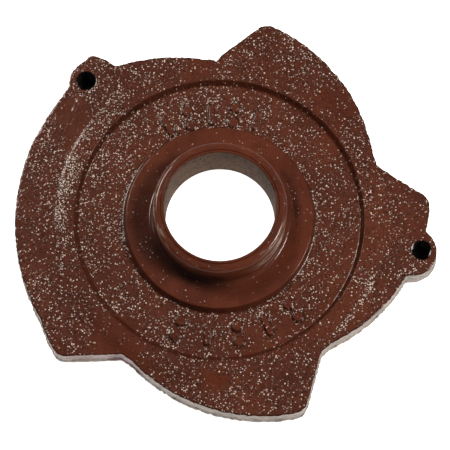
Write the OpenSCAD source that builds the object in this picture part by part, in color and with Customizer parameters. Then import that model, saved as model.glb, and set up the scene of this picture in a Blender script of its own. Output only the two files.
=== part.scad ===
// Flange casting with a tall central collar, a saw-toothed outline and two ear holes,
// and the thin sleeve pressed into the collar's bore.
// Millimetres. +Z runs along the bore towards the collar's mouth.
// The origin is on the bore axis, at the lower end of the bore wall.

/* [Bore and sleeve] */
// Radius of the sleeve's bore
bore_r = 26; // [24:0.5:26]
// Wall thickness of the sleeve
sleeve_wall = 1.5; // [1:0.25:2]
// Height of the lead-in bevel at the sleeve's mouth
sleeve_bevel = 0.5; // [0.2:0.1:0.8]

/* [Collar] */
// Height of the collar's mouth above the lower end of the bore
collar_top = 27.5; // [24:0.5:32]
// Outside radius of the collar
collar_r = 31.4; // [31:0.2:33]
// Radius of the rounding on the collar's outer top edge
rim_round_r = 2.2; // [1:0.2:2.4]
// Radius of the fillet between the collar's wall and the raised disc
fillet_r = 2.5; // [1:0.25:5]

/* [Raised disc and recessed ring] */
// Radius of the smooth raised disc around the collar
disc_r = 44.1; // [44:0.1:47]
// Height of the raised disc
disc_top = 8.9; // [7.5:0.1:10]
// Height of the recessed ring between the disc and the outer plate
ring_top = 4.2; // [3:0.1:5]
// Outer radius of the recessed ring's floor
ring_r = 66.7; // [64:0.1:68]
// Radial run of the slope on the disc's edge
disc_slope = 1.4; // [0.5:0.1:2.5]
// Radial run of the slope on the ring's outer edge
ring_slope = 1.8; // [0.5:0.1:3]

/* [Outer plate] */
// Height of the outer plate's top face
plate_top = 7.5; // [6:0.1:9]
// Radius of the ridge at which the top face begins to step down
ridge_r = 76.2; // [74:0.2:76.4]
// Radial run of the sloped band outside the ridge
ridge_slope = 2.4; // [1:0.1:2.5]
// How far the outer border lies below the ridge
border_drop = 1; // [0.3:0.1:2]
// Depth of the flat back below the lower end of the bore
back_drop = 7.5; // [7:0.5:10]
// Radius of the recess in the back
recess_r = 38; // [34:1:44]
// Height of the parting lip around the bottom of the wall
lip_height = 3; // [1.5:0.5:5]
// How far the parting lip stands out from the wall
lip_out = 0.9; // [0.3:0.1:1.5]

/* [Saw-toothed outline] */
// Radius at the bottom of each notch
notch_r = 79.8; // [79.2:0.1:81]
// Direction of the first notch
first_notch = 19; // [17:0.5:21]
// Radius of each tooth's long arc
tooth_arc_r = 85.2; // [83:0.2:88]
// Distance from the bore axis to the centre of a tooth's arc
tooth_arc_offset = 22.6; // [20:0.2:24]
// Direction of that centre, measured from the tooth's own notch
tooth_arc_turn = 100; // [94:1:106]
// Slant of the short flank that drops to the next notch
flank_slant = 19.4; // [14:0.2:26]
// Rounding radius of each tooth's corner
corner_r = 7.5; // [4:0.5:10]
// Radius of the arc that bridges the one missing notch
bridge_r = 96.8; // [95:0.2:98]

/* [Ears and holes] */
// Radius of each ear's rounded end
ear_r = 11.8; // [10:0.2:13]
// Direction of the first ear's rounded end
ear_1_turn = 131.3; // [129:0.1:135]
// Distance of the first ear's rounded end from the bore axis
ear_1_reach = 90.9; // [89:0.1:93]
// Direction of the second ear's rounded end
ear_2_turn = 350; // [347:0.1:353]
// Distance of the second ear's rounded end from the bore axis
ear_2_reach = 92.3; // [90:0.1:94]
// Direction of the first ear's hole
hole_1_turn = 133; // [131:0.1:135]
// Distance of the first ear's hole from the bore axis
hole_1_reach = 93.9; // [92:0.1:95]
// Direction of the second ear's hole
hole_2_turn = 350.8; // [349:0.1:352]
// Distance of the second ear's hole from the bore axis
hole_2_reach = 96.3; // [94:0.1:97]
// Radius of the ear holes
ear_hole_r = 4.5; // [3.5:0.1:5]
// Level of the floor of the ear holes, above the lower end of the bore
ear_hole_floor = -4.3; // [-5:0.1:0]

/* [Raised marks] */
// Height of the raised marks above the recessed ring
mark_rise = 1.3; // [0.5:0.1:1.8]
// Number of marks in each row
mark_count = 5; // [3:1:5]
// Length of a bar-shaped mark, along the radius
mark_length = 10.5; // [6:0.5:11]
// Width of a bar-shaped mark
mark_width = 3.2; // [2:0.2:4]
// Radius of a round mark
mark_dot_r = 2.6; // [1.5:0.1:3]
// Distance from the middle of a pair of round marks to each one
mark_dot_offset = 3.7; // [3.4:0.1:4]
// Distance of the first row from the bore axis
row_1_reach = 52; // [51:0.5:57]
// Direction of the middle of the first row
row_1_turn = 94; // [80:1:100]
// Turn from one mark of the first row to the next
row_1_step = 12; // [10:0.5:14]
// Distance of the second row from the bore axis
row_2_reach = 56; // [51:0.5:57]
// Direction of the middle of the second row
row_2_turn = 279; // [265:1:285]
// Turn from one mark of the second row to the next
row_2_step = 14.5; // [10:0.5:16]

/* [Hidden] */
$fn = 180;
eps = 0.01;
sleeve_r = bore_r + sleeve_wall;
plate_rim_r = ring_r + ring_slope;
far = 150;
tooth_step = 72;
teeth = 5;
// the tooth before the missing notch, counted from the first notch
bridged_tooth = 1;

// point at a distance and a direction
function at(reach, turn) = [reach * cos(turn), reach * sin(turn)];
function unit(v) = v / norm(v);

// A slice of the plane from the bore axis, between two directions.
module slice(turn_a, turn_b) {
    turn_mid = (turn_a + turn_b) / 2;
    polygon([[0, 0], at(far, turn_a), at(far, turn_mid), at(far, turn_b)]);
}

// The part of a tooth that lies under its long arc, up to one direction.
module tooth_arc(grow, end_turn) {
    intersection() {
        translate(at(tooth_arc_offset, tooth_arc_turn)) circle(r = tooth_arc_r + grow);
        slice(-1, end_turn);
    }
}

// One tooth of the outline, drawn with its notch in the X direction.
// The long arc leads to a rounded corner, and the flank runs down to the next notch.
module tooth(grow) {
    arc_centre = at(tooth_arc_offset, tooth_arc_turn);
    arc_r = tooth_arc_r + grow;
    round_r = corner_r + grow;
    flank_along = at(1, flank_slant);
    flank_in = at(1, flank_slant - 90);
    flank_foot = at(notch_r, tooth_step) - grow * flank_in;
    // corner centre: inside the arc and inside the flank by the rounding radius
    reach_from_arc = flank_foot + round_r * flank_in - arc_centre;
    along = reach_from_arc * flank_along;
    gap = (arc_r - round_r) * (arc_r - round_r) - reach_from_arc * reach_from_arc;
    run = -along + sqrt(along * along + gap);
    corner = arc_centre + reach_from_arc + run * flank_along;
    arc_end = arc_centre + arc_r * unit(corner - arc_centre);
    flank_start = flank_foot + run * flank_along;
    tooth_arc(grow, atan2(arc_end[1], arc_end[0]));
    // the flank is carried on past its foot, so that it cuts the notch circle cleanly
    flank_end = flank_foot - 4 * flank_along;
    polygon([[0, 0], corner + 0.9 * (arc_end - corner), corner, flank_start, flank_end]);
    translate(corner) circle(r = round_r);
}

// The outline seen from above, grown outwards by a small amount.
module outline(grow) {
    circle(r = notch_r + grow);
    for (i = [0 : teeth - 1]) {
        rotate(first_notch + i * tooth_step) {
            if (i == bridged_tooth) {
                tooth_arc(grow, 45.5);
            } else {
                tooth(grow);
            }
        }
    }
    // the bridge starts under the first ear, where the bridged tooth's arc ends
    bridge_from = first_notch + bridged_tooth * tooth_step + 44;
    intersection() {
        circle(r = bridge_r + grow);
        slice(bridge_from, bridge_from + 80);
    }
    translate(at(ear_1_reach, ear_1_turn)) circle(r = ear_r + grow);
    translate(at(ear_2_reach, ear_2_turn)) circle(r = ear_r + grow);
}

// Half section of the plate, from the bore axis outwards.
module plate_section() {
    polygon([
        [0, -back_drop - 1],
        [far, -back_drop - 1],
        [far, plate_top - border_drop],
        [ridge_r + ridge_slope, plate_top - border_drop],
        [ridge_r, plate_top],
        [plate_rim_r, plate_top],
        [ring_r, ring_top],
        [disc_r + disc_slope, ring_top],
        [disc_r, disc_top],
        [0, disc_top]
    ]);
}

// Half section of the collar, with its rounded rim and the fillet at its foot.
module collar_section() {
    difference() {
        union() {
            translate([sleeve_r, 0]) square([collar_r - sleeve_r, collar_top - rim_round_r]);
            translate([sleeve_r, 0]) square([collar_r - rim_round_r - sleeve_r, collar_top]);
            translate([collar_r - rim_round_r, collar_top - rim_round_r]) circle(r = rim_round_r);
            translate([collar_r - eps, 0]) square([fillet_r, disc_top + fillet_r]);
        }
        translate([collar_r + fillet_r, disc_top + fillet_r]) circle(r = fillet_r);
        translate([collar_r, disc_top + fillet_r]) square([fillet_r + 1, fillet_r + 1]);
    }
}

// The plate inside its toothed outline, with the parting lip around the foot.
module plate() {
    intersection() {
        rotate_extrude() plate_section();
        translate([0, 0, -back_drop]) linear_extrude(height = back_drop + disc_top + 1) outline(0);
    }
    translate([0, 0, -back_drop]) linear_extrude(height = lip_height) outline(lip_out);
}

// A raised bar that points along the radius, with round ends.
module bar_mark() {
    half = (mark_length - mark_width) / 2;
    height = mark_rise + 1;
    translate([-half, -mark_width / 2, 0]) cube([2 * half, mark_width, height]);
    translate([-half, 0, 0]) cylinder(h = height, r = mark_width / 2);
    translate([half, 0, 0]) cylinder(h = height, r = mark_width / 2);
}

// A row of plain raised marks; every other one is a pair of round dots.
module mark_row(reach, turn, step, dots_first) {
    height = mark_rise + 1;
    for (i = [0 : mark_count - 1]) {
        rotate([0, 0, turn + (i - (mark_count - 1) / 2) * step])
            translate([reach, 0, ring_top - 1]) {
                if ((i + dots_first) % 2 == 0) {
                    bar_mark();
                } else {
                    translate([-mark_dot_offset, 0, 0]) cylinder(h = height, r = mark_dot_r);
                    translate([mark_dot_offset, 0, 0]) cylinder(h = height, r = mark_dot_r);
                }
            }
    }
}

// A blind hole with a drilled point.
module ear_hole(reach, turn) {
    translate([reach * cos(turn), reach * sin(turn), 0]) {
        translate([0, 0, ear_hole_floor]) cylinder(h = 30, r = ear_hole_r);
        translate([0, 0, ear_hole_floor - 2]) cylinder(h = 2, r1 = 0, r2 = ear_hole_r);
    }
}

module flange_casting() {
    color([0.36, 0.19, 0.15])
    difference() {
        union() {
            plate();
            rotate_extrude() collar_section();
            mark_row(row_1_reach, row_1_turn, row_1_step, 0);
            mark_row(row_2_reach, row_2_turn, row_2_step, 1);
        }
        // seat of the sleeve
        translate([0, 0, -back_drop - 1]) cylinder(h = collar_top + back_drop + 2, r = sleeve_r);
        // recess in the back
        translate([0, 0, -back_drop - 1]) cylinder(h = back_drop + 1, r = recess_r);
        ear_hole(hole_1_reach, hole_1_turn);
        ear_hole(hole_2_reach, hole_2_turn);
    }
}

module bore_sleeve() {
    color([0.42, 0.38, 0.34])
    rotate_extrude() polygon([
        [bore_r, 0],
        [sleeve_r, 0],
        [sleeve_r, collar_top],
        [bore_r + sleeve_bevel, collar_top],
        [bore_r, collar_top - sleeve_bevel]
    ]);
}

flange_casting();
bore_sleeve();
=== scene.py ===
import math

import bpy
import numpy as np
from mathutils import Matrix, Vector


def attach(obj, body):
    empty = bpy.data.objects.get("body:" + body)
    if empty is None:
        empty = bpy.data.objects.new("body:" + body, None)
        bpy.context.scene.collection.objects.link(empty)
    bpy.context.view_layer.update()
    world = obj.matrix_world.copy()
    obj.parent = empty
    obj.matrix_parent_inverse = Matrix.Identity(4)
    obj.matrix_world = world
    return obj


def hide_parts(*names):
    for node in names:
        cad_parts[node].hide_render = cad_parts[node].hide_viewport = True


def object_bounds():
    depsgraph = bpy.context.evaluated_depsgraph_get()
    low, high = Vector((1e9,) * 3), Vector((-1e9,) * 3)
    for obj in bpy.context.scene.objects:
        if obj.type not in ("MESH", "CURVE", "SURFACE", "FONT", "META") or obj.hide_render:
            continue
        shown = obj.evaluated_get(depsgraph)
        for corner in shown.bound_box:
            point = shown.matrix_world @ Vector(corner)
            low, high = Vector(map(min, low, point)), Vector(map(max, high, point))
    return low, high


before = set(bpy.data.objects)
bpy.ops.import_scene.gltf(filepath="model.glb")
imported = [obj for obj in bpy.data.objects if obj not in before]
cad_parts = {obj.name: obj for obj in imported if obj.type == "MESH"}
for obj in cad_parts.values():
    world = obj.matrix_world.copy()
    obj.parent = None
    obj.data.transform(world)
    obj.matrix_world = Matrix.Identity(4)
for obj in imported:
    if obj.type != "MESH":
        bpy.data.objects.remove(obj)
cad_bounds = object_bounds()
MM = 0.001

# ------------------------------------------------------------------ sizes, mm and degrees
SLEEVE_IN, SLEEVE_OUT = 26.0, 27.5
COLLAR_TOP, COLLAR_R, RIM_ROUND, FILLET_R = 27.5, 31.4, 2.2, 2.2
# the core that formed the collar sat a little to the right
COLLAR_SHIFT = 0.35
DISC_R, DISC_TOP, RING_TOP, RING_R = 44.1, 8.9, 4.2, 66.7
PLATE_R, PLATE_TOP, RIDGE_R, BORDER_DROP = 68.5, 7.5, 76.2, 1.0
BACK, RECESS_R, LIP_H, LIP_OUT = -7.5, 38.0, 3.0, 0.9
TEETH, BRIDGED_TOOTH = 5, 1
NOTCH_R, NOTCH_TURN, ARC_R, ARC_OFF, ARC_TURN = 79.8, 19.0, 85.2, 22.6, 100.0
FLANK, CORNER_R, EDGE_ROUND = 19.4, 7.5, 0.7
BRIDGE_R, BRIDGE_FROM, BRIDGE_SPAN = 96.8, 44.0, 80.0
# ears and their blind holes: distance from the axis, turn
EAR_R, EARS = 11.8, ((90.9, 131.3), (92.3, 350.0))
HOLE_R, HOLE_FLOOR, HOLES = 4.5, -4.3, ((93.9, 133.0), (96.3, 350.8))
# raised marks: turn of the row's middle, distance from the axis, turn between marks, 1 if dots come first
MARK_ROWS = ((94.0, 52.0, 12.0, 0), (279.0, 56.0, 14.5, 1))
MARKS_IN_ROW, MARK_H = 5, 1.6
BAR_HALF, BAR_R, DOT_OFF, DOT_R = 3.65, 1.6, 3.7, 2.6
# lumps of the outline beside an ear, and a nick: turn, height, width in degrees
EDGE_LUMPS = ((127.2, 2.2, 1.6), (124.3, 1.0, 1.2), (138.0, 1.0, 3.0), (91.0, -1.1, 0.9))
# places where the paint lies thick: x, y, radius that is wholly smooth, radius where the grain is back
THICK_PAINT = ((-70, 52, 5, 13), (-48, -58, 8, 17), (-2, -78, 3, 9))


# ------------------------------------------------------------------ noise and masks
def noise(x, y, cell, seed):
    """Smooth value noise from -0.5 to 0.5 on a turned lattice."""
    g = np.random.default_rng(seed).random((256, 256)).astype(np.float32)
    t = 0.7 + seed * 1.3
    u = (x * math.cos(t) - y * math.sin(t)) / cell + 31.7 * seed
    v = (x * math.sin(t) + y * math.cos(t)) / cell + 17.3 * seed
    iu, iv = np.floor(u).astype(int), np.floor(v).astype(int)
    fu, fv = u - iu, v - iv
    fu, fv = fu * fu * (3 - 2 * fu), fv * fv * (3 - 2 * fv)
    a, b = g[iu % 256, iv % 256], g[(iu + 1) % 256, iv % 256]
    c, d = g[iu % 256, (iv + 1) % 256], g[(iu + 1) % 256, (iv + 1) % 256]
    return (a * (1 - fu) + b * fu) * (1 - fv) + (c * (1 - fu) + d * fu) * fv - 0.5


def step(lo, hi, v):
    """Smooth step from 0 at lo to 1 at hi, which may be below lo."""
    t = np.clip((v - lo) / (hi - lo), 0, 1)
    return t * t * (3 - 2 * t)


def band(lo, rise, fall, hi, v):
    """1 from rise to fall, smooth down to 0 at lo and hi."""
    return step(lo, rise, v) * step(hi, fall, v)


# ------------------------------------------------------------------ outline
def circle_exit(c, r, ux, uy):
    """Far crossing of a ray from the axis with a circle; 0 where it misses."""
    d = c[0] * ux + c[1] * uy
    q = r * r - (c[0] ** 2 + c[1] ** 2) + d * d
    return np.where(q > 0, d + np.sqrt(np.maximum(q, 0)), 0)


def polar(r, deg):
    return np.array([r * math.cos(math.radians(deg)), r * math.sin(math.radians(deg))])


def outline(phi):
    """Distance from the axis to the plate's edge: leaning saw teeth, a bridge over one, two ears."""
    pitch = 360 / TEETH
    out = np.full_like(phi, NOTCH_R)
    arc_c = polar(ARC_OFF, ARC_TURN)
    along, inward = polar(1, FLANK), polar(1, FLANK - 90)
    foot = polar(NOTCH_R, pitch)
    # the corner's circle touches the flank, and the arc from inside
    w = foot + CORNER_R * inward - arc_c
    run = -w @ along + math.sqrt((w @ along) ** 2 + (ARC_R - CORNER_R) ** 2 - w @ w)
    corner = arc_c + w + run * along
    tip = arc_c + ARC_R * (corner - arc_c) / np.linalg.norm(corner - arc_c)
    tip_deg = math.degrees(math.atan2(tip[1], tip[0]))
    start = foot + run * along
    start_deg = math.degrees(math.atan2(start[1], start[0]))
    for i in range(TEETH):
        psi = (np.degrees(phi) - NOTCH_TURN - pitch * i + 180) % 360 - 180
        ux, uy = np.cos(np.radians(psi)), np.sin(np.radians(psi))
        arc = circle_exit(arc_c, ARC_R, ux, uy)
        if i == BRIDGED_TOOTH:  # it runs into the bridge and has no corner
            out = np.maximum(out, np.where((psi > -1) & (psi < BRIDGE_FROM + 1.5), arc, 0))
            continue
        out = np.maximum(out, np.where((psi > -1) & (psi < tip_deg), arc, 0))
        out = np.maximum(out, circle_exit(corner, CORNER_R, ux, uy))
        # ray against the flank line
        den = ux * along[1] - uy * along[0]
        den = np.where(np.abs(den) < 1e-6, 1e-6, den)
        t = (foot[0] * along[1] - foot[1] * along[0]) / den
        out = np.maximum(out, np.where((psi >= start_deg) & (psi < pitch + 0.5), t, 0))
    deg = np.degrees(phi) % 360
    lo = NOTCH_TURN + pitch * BRIDGED_TOOTH + BRIDGE_FROM
    out = np.maximum(out, np.where((deg > lo) & (deg < lo + BRIDGE_SPAN), BRIDGE_R, 0))
    for r, a in EARS:
        out = np.maximum(out, circle_exit(polar(r, a), EAR_R, np.cos(phi), np.sin(phi)))
    return out


# ------------------------------------------------------------------ section
def rounded(pts, steps=6):
    """Polyline with a fillet at each point (r, z, fillet radius)."""
    out = [np.array(pts[0][:2], float)]
    for a, b, c in zip(pts, pts[1:], pts[2:]):
        p, q, s = (np.array(v[:2], float) for v in (a, b, c))
        rad = b[2]
        if rad <= 0:
            out.append(q)
            continue
        u, v = (p - q) / np.linalg.norm(p - q), (s - q) / np.linalg.norm(s - q)
        half = math.acos(np.clip(u @ v, -1, 1)) / 2
        back = min(rad / math.tan(half), 0.49 * np.linalg.norm(p - q), 0.49 * np.linalg.norm(s - q))
        rad = back * math.tan(half)
        centre = q + (u + v) / np.linalg.norm(u + v) * rad / math.sin(half)
        a0, a1 = q + u * back - centre, q + v * back - centre
        t0, t1 = math.atan2(a0[1], a0[0]), math.atan2(a1[1], a1[0])
        d = (t1 - t0 + math.pi) % (2 * math.pi) - math.pi
        turns = [t0 + d * k / steps for k in range(steps + 1)]
        out += [centre + rad * np.array([math.cos(t), math.sin(t)]) for t in turns]
    out.append(np.array(pts[-1][:2], float))
    return np.array(out)


def resample(line, gap):
    """Points no further apart than gap, with the corners kept."""
    out = [line[0]]
    for a, b in zip(line, line[1:]):
        n = max(1, int(math.ceil(np.linalg.norm(b - a) / gap)))
        out += [a + (b - a) * k / n for k in range(1, n + 1)]
    return np.array(out)


def arc_points(centre, rad, turns):
    return [(centre[0] + rad * math.cos(t), centre[1] + rad * math.sin(t), 0) for t in turns]


# collar, disc and inner ring, from the sleeve's edge outwards
SPLIT_R, PLATE_IN = 50.0, 70.0
rim = arc_points(
    (COLLAR_R - RIM_ROUND, COLLAR_TOP - RIM_ROUND), RIM_ROUND, np.linspace(math.pi / 2, 0, 8))
fillet = arc_points(
    (COLLAR_R + FILLET_R, DISC_TOP + FILLET_R), FILLET_R, np.linspace(math.pi, 1.5 * math.pi, 9))
smooth_line = resample(rounded(
    [(SLEEVE_OUT, COLLAR_TOP - 0.35, 0), (SLEEVE_OUT + 0.25, COLLAR_TOP, 0.15)] + rim + fillet
    + [(DISC_R, DISC_TOP, 0.55), (DISC_R + 1.4, RING_TOP, 0.9), (SPLIT_R, RING_TOP, 0)]), 0.7)
ring_line = resample(rounded(
    [(SPLIT_R, RING_TOP, 0), (RING_R, RING_TOP, 1.6), (PLATE_R, PLATE_TOP, 0.8), (PLATE_IN, PLATE_TOP, 0)],
    5), 0.38)[1:]

# ------------------------------------------------------------------ edge
N_PHI = 1640
phi = np.linspace(0, 2 * math.pi, N_PHI, endpoint=False)
turn = np.degrees(phi)


def ring_noise(cell, seed):
    """Noise that runs along the edge."""
    return noise(np.cos(phi) * 95, np.sin(phi) * 95, cell, seed)


edge = outline(phi)
# soften the sharpest notches a little, as sand cores do
for _ in range(3):
    edge = 0.5 * edge + 0.25 * (np.roll(edge, 1) + np.roll(edge, -1))
for at, high, wide in EDGE_LUMPS:
    edge = edge + high * np.exp(-(((turn - at) / wide) ** 2))
edge_top = edge - 0.25 + 0.30 * ring_noise(6, 3) + 0.35 * ring_noise(1.7, 4) + 0.25 * ring_noise(0.8, 5)
edge_top = np.minimum(edge_top, edge + 0.05)

# ------------------------------------------------------------------ rings of points, from the collar outwards
TOP, ROUND, WALL, LIP, UNDER = range(5)
rows_r, rows_z, zone = [], [], []


def add_ring(r, z, kind):
    """One ring of points; r and z are a number or a value for each turn."""
    rows_r.append(np.full(N_PHI, r))
    rows_z.append(np.full(N_PHI, z))
    zone.append(kind)


for r, z in np.vstack([smooth_line, ring_line]):
    add_ring(r, z, TOP)
# the ridge is crisp at the left and lower right, and soft elsewhere
crisp = band(118, 150, 185, 205, turn) + step(285, 315, turn) + step(25, 5, turn)
half_drop = 1.2 + 3.0 * (1 - crisp)
ridge_foot = RIDGE_R + 1.2
n_out = 78
for k in range(1, n_out + 1):
    r = PLATE_IN + k / n_out * (edge_top - EDGE_ROUND - PLATE_IN)
    drop = BORDER_DROP * step(ridge_foot - half_drop, ridge_foot + half_drop, r)
    add_ring(r, PLATE_TOP - drop - 0.25 * step(0, 1, (r - RIDGE_R - 4) / 20), TOP)
border_z = rows_z[-1]
for a in np.linspace(0.2, 1, 5) * math.pi / 2:
    add_ring(
        edge_top - EDGE_ROUND + EDGE_ROUND * math.sin(a),
        border_z - EDGE_ROUND + EDGE_ROUND * math.cos(a), ROUND)
lip_z = BACK + LIP_H
n_wall = 26
for k in range(1, n_wall + 1):
    t = k / n_wall
    add_ring(
        edge_top * (1 - t) + (edge - 0.1) * t, (border_z - EDGE_ROUND) * (1 - t) + (lip_z + 0.5) * t, WALL)
lip_r = edge + LIP_OUT - 0.25 - 0.55 * np.abs(ring_noise(2.3, 6) * 2) - 0.3 * np.abs(ring_noise(0.9, 7) * 2)
lip_section = (
    (0.25, lip_z + 0.1), (0.8, lip_z - 0.3), (1.0, lip_z - 0.9),
    (1.0, BACK + 1.2), (0.95, BACK + 0.5), (0.6, BACK))
for share, z in lip_section:
    add_ring(edge - 0.1 + (lip_r - edge + 0.1) * share, z, LIP)
for t in (0.25, 0.5, 0.75, 1.0):
    add_ring((edge - 1) * (1 - t) + RECESS_R * t, BACK, UNDER)
for r, z in ((RECESS_R, -3.5), (RECESS_R, 0), (33, 0), (SLEEVE_OUT, 0), (SLEEVE_OUT, 9), (SLEEVE_OUT, 18)):
    add_ring(r, z, UNDER)

R = np.array(rows_r, float)
Z = np.array(rows_z, float)
zone = np.array(zone)[:, None]
P = np.broadcast_to(phi, R.shape)
X, Y = R * np.cos(P), R * np.sin(P)
ang = np.degrees(np.arctan2(Y, X))
top = (zone <= ROUND) & (R > 0)
wall = (zone == WALL) & (R > 0)
collar = (R < DISC_R + 1.2) & top


# ------------------------------------------------------------------ relief of the casting
def normals(x, y, z):
    p = np.stack([x, y, z], -1)
    ds = np.roll(p, -1, 0) - np.roll(p, 1, 0)
    dp = np.roll(p, -1, 1) - np.roll(p, 1, 1)
    n = np.cross(ds, dp)
    n /= np.maximum(np.linalg.norm(n, axis=-1, keepdims=True), 1e-9)
    return n


def marks_height(x, y):
    """Raised bars and pairs of dots in two rows on the ring."""
    h = np.zeros_like(R)
    for row, reach, gap, dots_first in MARK_ROWS:
        for i in range(MARKS_IN_ROW):
            ca, sa = polar(1, row + (i - MARKS_IN_ROW // 2) * gap)
            u = x * ca + y * sa - reach
            v = -x * sa + y * ca
            if (i + dots_first) % 2 == 0:
                d = np.hypot(np.maximum(np.abs(u) - BAR_HALF, 0), v) - BAR_R
            else:
                d = np.minimum(np.hypot(u - DOT_OFF, v), np.hypot(u + DOT_OFF, v)) - DOT_R
            h = np.maximum(h, MARK_H * (1 - step(-0.45, 0.30, d)) * (R > DISC_R + 1.5))
    return h


patch = 0.6 * step(0.12, 0.3, noise(X, Y, 17, 21))
for x, y, smooth_r, grain_r in THICK_PAINT:
    patch = patch + step(grain_r, smooth_r, np.hypot(X - x, Y - y))
patch = np.clip(patch, 0, 1)
disc_patch = band(33.5, 36, 39, 43, R) * np.maximum(step(140, 165, ang), step(-120, -150, ang))
grain = np.where(collar, 0.06, 1.0) * top * (1 - 0.75 * patch)
grain = np.maximum(grain, collar * 0.7 * disc_patch * step(0.05, 0.3, noise(X, Y, 3.0, 23)))
grain *= 1 + 0.35 * step(0.0, 0.4, noise(X, Y, 23, 22))
grain *= 1 - 0.6 * np.clip(marks_height(X, Y), 0, 1)

lumps = 0.16 * noise(X, Y, 11, 31) + 0.10 * noise(X, Y, 5.2, 32)
sand = 0.08 * noise(X, Y, 2.2, 33) + 0.16 * noise(X, Y, 1.05, 34)
sand = sand + 0.17 * noise(X, Y, 0.62, 35)
pits = -0.25 * step(0.30, 0.44, noise(X, Y, 2.1, 36))
ridge_grain = 0.25 * noise(X, Y, 2.6, 37) * crisp * band(72, 74, 78, 80, R)
# coarse scabs and pour lines on the wall
wall_u, wall_v = P * 95, Z
scabs = 0.30 * noise(wall_u, wall_v, 2.4, 41) + 0.16 * noise(wall_u, wall_v, 0.9, 42) - 0.15
skin = top * (lumps * np.where(collar, 0.15, 0.6) + grain * (sand + pits) + ridge_grain) + wall * scabs
# none on the first rings, which meet the sleeve
skin[:3] *= np.array([[0], [0.3], [0.7]])
N = normals(X, Y, Z)
X = X + N[..., 0] * skin
Y = Y + N[..., 1] * skin
Z = Z + N[..., 2] * skin

# marks, and a thin line of flash round the collar's foot
marks = marks_height(X, Y)
flash_r = 36.6 + 1.1 * noise(ang * 0.6, ang * 0, 4.0, 24) + 0.5 * noise(ang * 0.6, ang * 0, 1.2, 25)
flash_on = band(-12, 2, 34, 46, ang) * (0.6 + noise(ang * 0.6, ang * 0, 2.0, 26))
flash = 0.45 * np.exp(-(((R - flash_r) / 0.45) ** 2)) - 0.35 * np.exp(-(((R - flash_r + 1.3) / 0.6) ** 2))
Z = Z + top * (marks + flash * flash_on)

# blind holes: the skin is pushed down inside a ring of snapped points
painted_shade = np.zeros_like(R)
snap = 0.42
for r, a in HOLES:
    cx, cy = polar(r, a)
    dx, dy = X - cx, Y - cy
    d = np.maximum(np.hypot(dx, dy), 1e-6)
    near = top & (d < HOLE_R + 1.2)
    hole_r = HOLE_R * (1 + 0.02 * np.sin(3 * np.arctan2(dy, dx) + a))
    inside = near & (d < hole_r)
    # last points outside sit on the edge, first points inside on the hole's wall
    outer_ring = near & ~inside & (d < hole_r + snap)
    inner_ring = inside & (d > hole_r - snap)
    pull = np.where(outer_ring, (hole_r + 0.02) / d, np.where(inner_ring, (hole_r - 0.04) / d, 1))
    X = np.where(near, cx + dx * pull, X)
    Y = np.where(near, cy + dy * pull, Y)
    Z = np.where(outer_ring, Z - 0.25, Z)
    Z = np.where(inside, HOLE_FLOOR + 0.3 * np.abs(noise(dx, dy, 1.5, 51)), Z)
    # painted shade: the blind holes and a ring at their edge are painted near-black
    painted_shade = np.where(inside | outer_ring, 1, painted_shade)

X = X + top * COLLAR_SHIFT * (1 - step(33, 44, R))

# keep inside the CAD box
X, Y, Z = (np.clip(v, lo / MM, hi / MM) for v, lo, hi in zip((X, Y, Z), *cad_bounds))

# ------------------------------------------------------------------ paint masks, one value for each point
# cover: 1 painted, 0 bare grey wall; the paint reaches down the wall in places
depth_below = np.maximum(border_z - EDGE_ROUND - Z, 0)
reach = 0.35 + 0.8 * np.maximum(ring_noise(5, 61), 0)
reach = reach + 9.5 * band(219, 224, 228, 231, turn)
reach = reach + 14 * band(228, 233, 239, 247, turn) + 4 * band(240, 245, 250, 262, turn)
cover = (zone <= ROUND) * np.ones_like(R)
wall_cover = 1 - step(-0.35, 0.35, depth_below - reach - 0.7 * noise(wall_u, wall_v, 1.6, 62))
cover = np.where(zone == WALL, wall_cover, cover)
cover = np.where((zone == LIP) & (reach > 11), 1, cover)

# painted shade: the blind holes, the corner at the collar's foot, a band beside the flash line, the outer
# border at the left, round the feet of the marks and along the rounded edge are painted towards near-black;
# the step's riser is darkened all round as well
riser = band(66.5, 66.9, 68.6, 69.0, R)
mark_edge = np.abs(np.roll(marks, 3, 1) - marks) + np.abs(np.roll(marks, 3, 0) - marks)
border = band(136, 144, 188, 208, turn) * step(78.5, 81, R)
collar_foot = step(38.5, 33.0, R) * step(25, 17, Z) * band(-176, -148, -100, -66, ang)
flash_foot = flash_on * np.exp(-(((R - flash_r - 0.3) / 1.5) ** 2))
mark_foot = step(0.15, 0.7, mark_edge) * step(1.3, 0.7, marks)
for shade, part in (
        (0.70, collar_foot * top), (0.55, flash_foot * top), (0.34, riser * top), (0.09, border * top),
        (0.42, mark_foot), (0.60, zone == ROUND)):
    painted_shade = np.maximum(painted_shade, shade * part)

# level: how far the gloss lies flat over the grain
flat_grain = np.clip(grain, 0, 1) * (1 - riser)
level = 2.4 * flat_grain + 6 * crisp * band(71, 73, 79, 81, R) * top

# glint: how many painted highlight spots; dense over the left, on the ridge, at the disc's foot and round the
# marks
glint = 0.66 + 0.55 * noise(X, Y, 13, 71) + 0.45 * noise(X, Y, 4.5, 72)
glint += 0.26 * step(-10, -50, X) * step(-60, 0, Y)
glint += 0.9 * band(126, 138, 178, 196, turn) * band(70.0, 73.0, 77.0, 79.5, R)
glint += 1.7 * band(140, 152, 174, 190, turn) * band(73.4, 74.8, 76.8, 78.6, R)
glint += 3.4 * band(306, 314, 334, 342, turn) * band(75.6, 76.6, 78.4, 79.6, R)
glint -= 0.35 * border
disc_foot = band(44.9, 45.6, 46.2, 47.6, R)
glint += 1.3 * disc_foot * np.maximum(band(-75, -45, 15, 55, ang), np.abs(ang) > 147.6)
glint += 0.35 * band(60, 64, 66, 67.5, R) * (np.abs(ang) > 108)
near_marks = sum(np.roll(mark_edge, k, 1) + np.roll(mark_edge, k, 0) for k in (-9, -5, 0, 5, 9))
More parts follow.
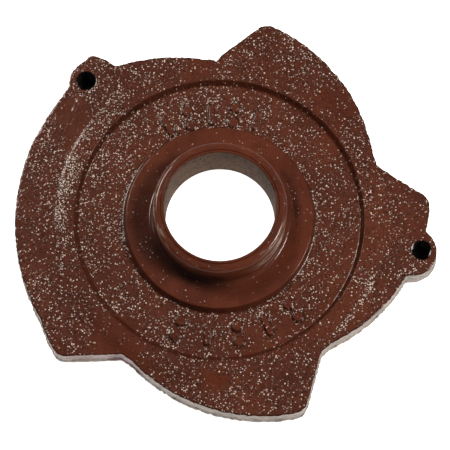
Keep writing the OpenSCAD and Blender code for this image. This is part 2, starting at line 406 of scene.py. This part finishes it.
glint += 0.8 * step(0.1, 1.2, near_marks)
glint *= (1 - 0.8 * step(0.9, 1.2, marks)) * (1 - 0.9 * patch)
collar_glint = np.clip(grain, 0.04, 1) * 0.5 * ((R > 33.4) | (R < 29.0))
glint = np.where(collar, collar_glint, glint) * top * (1 - 0.6 * riser)
glint = np.clip(glint, 0.03, 4.0)
# none on steep faces, where the flat spots would stretch into streaks
glint = np.where(np.abs(N[..., 2]) < 0.35, -0.2, glint)

# painted sheen: painted highlights on the rim's edge and light lines on the collar's wall, on the two sides
# where the low lamps glance
rim_edge = band(28.9, 29.9, 30.6, 31.3, R) * step(24.2, 25.6, Z)
collar_wall = (R > 30.9) * (R < 32.2) * band(11, 14, 23, 25, Z)
left_side = np.maximum(step(112, 150, ang), step(-135, -160, ang))
right_side = band(-68, -45, -22, -5, ang)
painted_sheen = rim_edge * np.clip(left_side + 0.9 * right_side + 0.08, 0, 1) + 0.9 * collar_wall * right_side
painted_sheen = np.clip(painted_sheen, 0, 1) * top


# ------------------------------------------------------------------ meshes
def grid_mesh(name, x, y, z, attrs):
    """Closed skin over rings of points, with one float attribute for each mask."""
    m, n = x.shape
    co = np.stack([x, y, z], -1).reshape(-1, 3).astype(np.float32) * MM
    i = np.arange(m)[:, None]
    j = np.arange(n)[None, :]
    i2, j2 = (i + 1) % m, (j + 1) % n
    quads = np.stack([i * n + j, i2 * n + j, i2 * n + j2, i * n + j2], -1).reshape(-1, 4)
    me = bpy.data.meshes.new(name)
    me.vertices.add(len(co))
    me.vertices.foreach_set("co", co.ravel())
    me.loops.add(quads.size)
    me.loops.foreach_set("vertex_index", quads.ravel().astype(np.int32))
    me.polygons.add(len(quads))
    me.polygons.foreach_set("loop_start", (np.arange(len(quads)) * 4).astype(np.int32))
    me.polygons.foreach_set("loop_total", np.full(len(quads), 4, np.int32))
    me.polygons.foreach_set("use_smooth", np.ones(len(quads), bool))
    for key, val in attrs.items():
        at = me.attributes.new(key, "FLOAT", "POINT")
        at.data.foreach_set("value", np.broadcast_to(val, x.shape).ravel().astype(np.float32))
    me.update()
    me.validate()
    ob = bpy.data.objects.new(name, me)
    bpy.context.scene.collection.objects.link(ob)
    return ob


casting = grid_mesh("casting_skin", X, Y, Z, {
    "cover": cover, "glint": glint, "hole": painted_shade, "grain": flat_grain, "level": level, "painted_sheen": painted_sheen})


def sleeve_mesh():
    """Plain tube with a slightly wavy bore and a painted outer rim."""
    outer = SLEEVE_OUT - 0.03
    section = resample(rounded([
        (outer, 13.0, 0), (outer, 0.15, 0), (SLEEVE_OUT - 0.3, 0.0, 0), (SLEEVE_IN + 0.5, 0.0, 0.1),
        (SLEEVE_IN, 0.6, 0.2), (SLEEVE_IN, COLLAR_TOP - 0.5, 0.2), (SLEEVE_IN + 0.5, COLLAR_TOP, 0.1),
        (SLEEVE_OUT - 0.25, COLLAR_TOP, 0.1), (outer, COLLAR_TOP - 0.3, 0), (outer, 13.0, 0)], 4), 0.8)[:-1]
    turns = np.linspace(0, 2 * math.pi, 360, endpoint=False)
    t, r = np.meshgrid(turns, section[:, 0])
    z = np.repeat(section[:, 1:], len(turns), 1)
    wave = 0.03 * noise(t * SLEEVE_IN, z, 1.6, 81) - 0.15 + 0.15 * step(14, 26, z)
    r = r + (r < SLEEVE_IN + 0.2) * wave
    painted = step(COLLAR_TOP - 0.45, COLLAR_TOP - 0.2, z) * step(SLEEVE_IN + 0.15, SLEEVE_IN + 0.35, r)
    return grid_mesh("sleeve_lining", r * np.cos(t) + COLLAR_SHIFT, r * np.sin(t), z, {"cover": painted})


sleeve = sleeve_mesh()


# ------------------------------------------------------------------ materials
class Nodes:
    """Short helper for building a node tree."""

    def __init__(self, name):
        self.mat = bpy.data.materials.new(name)
        self.mat.use_nodes = True
        self.t = self.mat.node_tree
        self.t.nodes.clear()
        self.out = self.t.nodes.new("ShaderNodeOutputMaterial")
        self.coord = self.n("TexCoord").outputs["Object"]

    def n(self, kind, **props):
        node = self.t.nodes.new("ShaderNode" + kind)
        for k, v in props.items():
            setattr(node, k, v)
        return node

    def link(self, a, b):
        self.t.links.new(a, b)

    def put(self, socket, value):
        if isinstance(value, bpy.types.NodeSocket):
            self.link(value, socket)
        else:
            socket.default_value = value

    def math(self, op, a, b, clamp=False):
        m = self.n("Math", operation=op, use_clamp=clamp)
        self.put(m.inputs[0], a)
        self.put(m.inputs[1], b)
        return m.outputs[0]

    def times(self, a, b, clamp=False):
        return self.math("MULTIPLY", a, b, clamp)

    def plus(self, a, b):
        return self.math("ADD", a, b)

    def minus(self, a, b):
        return self.math("SUBTRACT", a, b)

    def vector(self, x=0.0, y=0.0, z=0.0):
        v = self.n("CombineXYZ")
        for socket, value in zip(v.inputs, (x, y, z)):
            self.put(socket, value)
        return v.outputs[0]

    def ramp(self, value, lo, hi, to_lo=0.0, to_hi=1.0):
        m = self.n("MapRange", interpolation_type="SMOOTHSTEP")
        self.put(m.inputs["Value"], value)
        m.inputs["From Min"].default_value = lo
        m.inputs["From Max"].default_value = hi
        m.inputs["To Min"].default_value = to_lo
        m.inputs["To Max"].default_value = to_hi
        return m.outputs["Result"]

    def mix(self, fac, a, b):
        m = self.n("Mix", data_type="RGBA")
        self.put(m.inputs[0], fac)
        self.put(m.inputs[6], a)
        self.put(m.inputs[7], b)
        return m.outputs[2]

    def noise(self, scale, detail=3.0, rough=0.55, at=None):
        m = self.n("TexNoise")
        self.link(at or self.coord, m.inputs["Vector"])
        m.inputs["Scale"].default_value = scale
        m.inputs["Detail"].default_value = detail
        m.inputs["Roughness"].default_value = rough
        return m.outputs["Fac"]

    def attr(self, name):
        return self.n("Attribute", attribute_name=name).outputs["Fac"]


def srgb(r, g, b):
    def linear(c):
        c /= 255
        return c / 12.92 if c <= 0.04045 else ((c + 0.055) / 1.055) ** 2.4

    return (linear(r), linear(g), linear(b), 1)


def paint_nodes(s):
    """Glossy red-oxide primer: colour, roughness, height."""
    big, mid, small = s.noise(22, 4), s.noise(140, 4), s.noise(900, 3)
    col = s.mix(s.ramp(big, 0.35, 0.68), (0.110, 0.0235, 0.0098, 1), (0.160, 0.0385, 0.0165, 1))
    col = s.mix(s.ramp(mid, 0.42, 0.72, 0, 0.5), col, (0.078, 0.0172, 0.0082, 1))
    col = s.mix(s.ramp(small, 0.52, 0.75, 0, 0.45), col, (0.200, 0.0520, 0.0240, 1))
    rough = s.ramp(mid, 0.3, 0.7, 0.42, 0.58)
    return col, rough, s.plus(s.times(small, 0.6), s.times(mid, 0.4))


def bare_nodes(s):
    """Bare grey cast side wall: colour, roughness, height."""
    big, mid, small = s.noise(60, 4), s.noise(330, 5, 0.65), s.noise(1500, 3)
    col = s.mix(s.ramp(big, 0.35, 0.65), srgb(150, 140, 133), srgb(176, 165, 156))
    col = s.mix(s.ramp(mid, 0.52, 0.70, 0, 0.85), col, srgb(92, 82, 76))
    col = s.mix(s.ramp(small, 0.60, 0.72, 0, 0.6), col, srgb(60, 50, 46))
    return col, s.ramp(mid, 0.3, 0.7, 0.55, 0.75), small


def sleeve_nodes(s):
    """Dull brown metal of the bore: colour, roughness, height."""
    big, mid, small = s.noise(60, 4), s.noise(620, 5, 0.65), s.noise(1900, 3)
    col = s.mix(s.ramp(big, 0.38, 0.62), srgb(88, 64, 48), srgb(114, 88, 68))
    col = s.mix(s.ramp(mid, 0.50, 0.64, 0, 0.75), col, srgb(50, 35, 26))
    col = s.mix(s.ramp(small, 0.56, 0.68, 0, 0.6), col, srgb(134, 108, 86))
    return col, s.ramp(mid, 0.3, 0.7, 0.6, 0.75), mid


def principled(s, look, strength, dist, specular=None):
    """Shader with a bump; look is colour, roughness, height."""
    col, rough, height = look
    p = s.n("BsdfPrincipled")
    s.put(p.inputs["Base Color"], col)
    s.put(p.inputs["Roughness"], rough)
    if specular is not None:
        p.inputs["Specular IOR Level"].default_value = specular
    bump = s.n("Bump")
    bump.inputs["Strength"].default_value = strength
    bump.inputs["Distance"].default_value = dist
    s.link(height, bump.inputs["Height"])
    s.link(bump.outputs["Normal"], p.inputs["Normal"])
    return p


def glossy_paint(s, look):
    """Primer shader with a clear gloss over it."""
    p = principled(s, look, 0.4, 0.0003, 0.12)
    p.inputs["Coat Weight"].default_value = 0.55
    p.inputs["Coat Roughness"].default_value = 0.10
    return p


def finish_by_cover(s, bare, paint):
    """Bare metal where cover is 0, paint where it is 1."""
    m = s.n("MixShader")
    s.link(s.ramp(s.attr("cover"), 0.4, 0.6), m.inputs[0])
    s.link(bare.outputs[0], m.inputs[1])
    s.link(paint.outputs[0], m.inputs[2])
    s.link(m.outputs[0], s.out.inputs["Surface"])
    return s.mat


def spot_layer(s, often, scale, share, r_lo, r_hi, size_channel):
    """Round spots, one at most in each cell: spot mask, ring round it, the cell's random colour."""
    vor = s.n("TexVoronoi", voronoi_dimensions="2D")
    s.link(s.coord, vor.inputs["Vector"])
    vor.inputs["Scale"].default_value = scale
    cell = s.n("SeparateColor")
    s.link(vor.outputs["Color"], cell.inputs[0])
    there = s.ramp(s.minus(s.times(often, share), cell.outputs[0]), -0.02, 0.03)
    size = s.plus(r_lo, s.times(cell.outputs[size_channel], r_hi))
    spot = s.times(there, s.ramp(s.minus(size, vor.outputs["Distance"]), 0.0, 0.14))
    ring = s.times(there, s.ramp(s.minus(vor.outputs["Distance"], size), 0.02, 0.14))
    return spot, ring, cell


def add_grain(s, col, height):
    """Painted shade: darker patches in the grain and darker specks; painted highlights: light glints, each
    with a darker ring round it.
    """
    # painted shade: grain patches mixed darker
    grain_shade = s.times(s.ramp(s.noise(1000, 2), 0.34, 0.47, 0.7, 0.0), s.attr("grain"))
    col = s.mix(grain_shade, col, (0.045, 0.0110, 0.0055, 1))
    col = s.mix(s.times(s.attr("grain"), 0.018), col, (0.36, 0.30, 0.27, 1))
    density = s.attr("glint")
    quiet = s.math("MINIMUM", density, 0.8)
    patchy = s.ramp(s.noise(190, 3, 0.6), 0.36, 0.66, 0.5, 1.4)
    often = s.times(density, patchy)
    fine = spot_layer(s, often, 1450, 0.33, 0.23, 0.26, 2)
    coarse = spot_layer(s, often, 1020, 0.17, 0.22, 0.25, 2)
    specks = spot_layer(s, s.times(quiet, patchy), 1000, 0.42, 0.32, 0.24, 1)
    # painted shade: rings round the glints and the darker specks
    rings = s.math("MAXIMUM", s.times(fine[1], quiet), s.times(coarse[1], quiet))
    shade = s.times(s.math("MAXIMUM", rings, specks[0]), 0.8, clamp=True)
    col = s.mix(shade, col, (0.030, 0.0085, 0.0045, 1))
    # painted highlights: the glints mixed in light over the colour
    for spot, _, cell in (fine, coarse):
        bright = cell.outputs[2]
        gain = s.plus(s.times(bright, bright), s.ramp(density, 1.6, 3.4, 0.20, 0.50))
        glint_fac = s.times(spot, gain, clamp=True)
        glint_col = s.mix(s.ramp(bright, 0.0, 0.8), (0.66, 0.42, 0.33, 1), (1.0, 0.87, 0.80, 1))
        col = s.mix(glint_fac, col, glint_col)
        height = s.plus(height, s.times(glint_fac, 0.8))
    return col, height


def add_painted_sheen(s, col):
    """Painted highlights: light lines along the collar's wall and duller ones on its rim."""
    split = s.n("SeparateXYZ")
    s.link(s.coord, split.inputs[0])
    x, y, z = split.outputs
    around = s.times(s.math("ARCTAN2", y, x), 0.0035)
    lines = s.noise(1400, 3, 0.5, at=s.vector(around, z))
    sheen_fac = s.times(s.attr("painted_sheen"), s.ramp(lines, 0.50, 0.60, 0.04, 1.0))
    return s.mix(sheen_fac, col, s.mix(s.ramp(z, 0.022, 0.024), (0.90, 0.72, 0.58, 1), (0.34, 0.26, 0.20, 1)))


def level_gloss(s, paint):
    """The gloss lies level over the grain: its normal leans towards up."""
    add = s.n("VectorMath", operation="ADD")
    s.link(s.n("NewGeometry").outputs["Normal"], add.inputs[0])
    s.link(s.vector(z=s.attr("level")), add.inputs[1])
    unit = s.n("VectorMath", operation="NORMALIZE")
    s.link(add.outputs[0], unit.inputs[0])
    s.link(unit.outputs[0], paint.inputs["Coat Normal"])


def casting_material():
    s = Nodes("red_oxide_casting")
    col, rough, height = paint_nodes(s)
    col, height = add_grain(s, col, height)
    # painted highlights on the rim's edge and along the collar's wall
    col = add_painted_sheen(s, col)
    # painted shade: the masked holes, corners and edges are mixed towards near-black
    hole = s.attr("hole")
    col = s.mix(hole, col, srgb(14, 12, 12))
    paint = glossy_paint(s, (col, s.plus(rough, s.times(hole, 0.4)), height))
    level_gloss(s, paint)
    return finish_by_cover(s, principled(s, bare_nodes(s), 0.5, 0.0003), paint)


def sleeve_material():
    s = Nodes("bare_sleeve_metal")
    metal = principled(s, sleeve_nodes(s), 0.35, 0.0002, 0.08)
    return finish_by_cover(s, metal, glossy_paint(s, paint_nodes(s)))


def table_material():
    s = Nodes("light_table")
    p = s.n("BsdfPrincipled")
    s.link(s.mix(s.noise(30, 4), (0.93, 0.93, 0.93, 1), (0.96, 0.96, 0.96, 1)), p.inputs["Base Color"])
    p.inputs["Roughness"].default_value = 0.8
    p.inputs["Emission Color"].default_value = (1, 1, 1, 1)
    p.inputs["Emission Strength"].default_value = 1.0
    s.link(p.outputs[0], s.out.inputs["Surface"])
    return s.mat


casting.data.materials.append(casting_material())
sleeve.data.materials.append(sleeve_material())

for ob, node, mat_slot in (
        (casting, "flange_casting", "red_primer"), (sleeve, "bore_sleeve", "bare_sleeve")):
    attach(ob, "root")
    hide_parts(node)

# ------------------------------------------------------------------ stage
FLOOR_HALF, FLOOR_GAP = 3.0, 0.0001
corners = ((-1, -1), (1, -1), (1, 1), (-1, 1))
floor_z = BACK * MM - FLOOR_GAP
me = bpy.data.meshes.new("floor_mesh")
me.from_pydata([(x * FLOOR_HALF, y * FLOOR_HALF, floor_z) for x, y in corners], [], [(0, 1, 2, 3)])
floor = bpy.data.objects.new("floor", me)
bpy.context.scene.collection.objects.link(floor)
floor.data.materials.append(table_material())


def area_light(name, azimuth, elevation, dist, size, power, color=(1, 1, 1)):
    """Rectangular lamp, in metres and watts, that faces the part."""
    data = bpy.data.lights.new(name, "AREA")
    data.shape = "RECTANGLE"
    data.size, data.size_y = size
    data.energy = power
    data.color = color
    a, e = math.radians(azimuth), math.radians(elevation)
    place = Vector((math.cos(e) * math.cos(a), math.cos(e) * math.sin(a), math.sin(e))) * dist
    target = Vector((0, 0, 0.01))
    ob = bpy.data.objects.new(name, data)
    ob.location = place
    ob.rotation_euler = (target - place).to_track_quat("-Z", "Y").to_euler()
    bpy.context.scene.collection.objects.link(ob)


WARM = (1.0, 0.89, 0.79)
area_light("key_right", 0, 58, 1.5, (0.32, 0.32), 10.8, WARM)
area_light("key_left_back", 130, 60, 1.5, (0.32, 0.32), 6.4, WARM)
area_light("low_right", -28, 12, 1.2, (0.5, 0.3), 1.3)
area_light("low_left", 160, 12, 1.2, (0.8, 0.3), 1.7)

world = bpy.data.worlds.new("tent")
world.use_nodes = True
bpy.context.scene.world = world
background = world.node_tree.nodes["Background"]
background.inputs["Strength"].default_value = 0.02
background.inputs["Color"].default_value = (1, 1, 1, 1)

# ------------------------------------------------------------------ camera, tilted from straight above, mm
TILT = math.radians(15.3)
CAMERA_DIST, AIM_RIGHT, AIM_UP = 1063.047, 2.6847, -3.768
SENSOR, LENS = 36.0, 180.56
toward = Vector((0, -math.sin(TILT), math.cos(TILT)))
up = Vector((0, math.cos(TILT), math.sin(TILT)))
right = Vector((1, 0, 0))
aim = Vector((0, 0, DISC_TOP)) + right * AIM_RIGHT + up * AIM_UP
cam = bpy.data.cameras.new("camera")
cam.sensor_width = SENSOR
cam.lens = LENS
cam.clip_start, cam.clip_end = 0.05, 10
cam_ob = bpy.data.objects.new("camera", cam)
turned = Matrix((right, up, toward)).transposed().to_4x4()
cam_ob.matrix_world = Matrix.Translation((aim + toward * CAMERA_DIST) * MM) @ turned
bpy.context.scene.collection.objects.link(cam_ob)
bpy.context.scene.camera = cam_ob
vs = bpy.context.scene.view_settings
vs.view_transform = "Standard"
vs.look = "None"

bpy.context.view_layer.update()
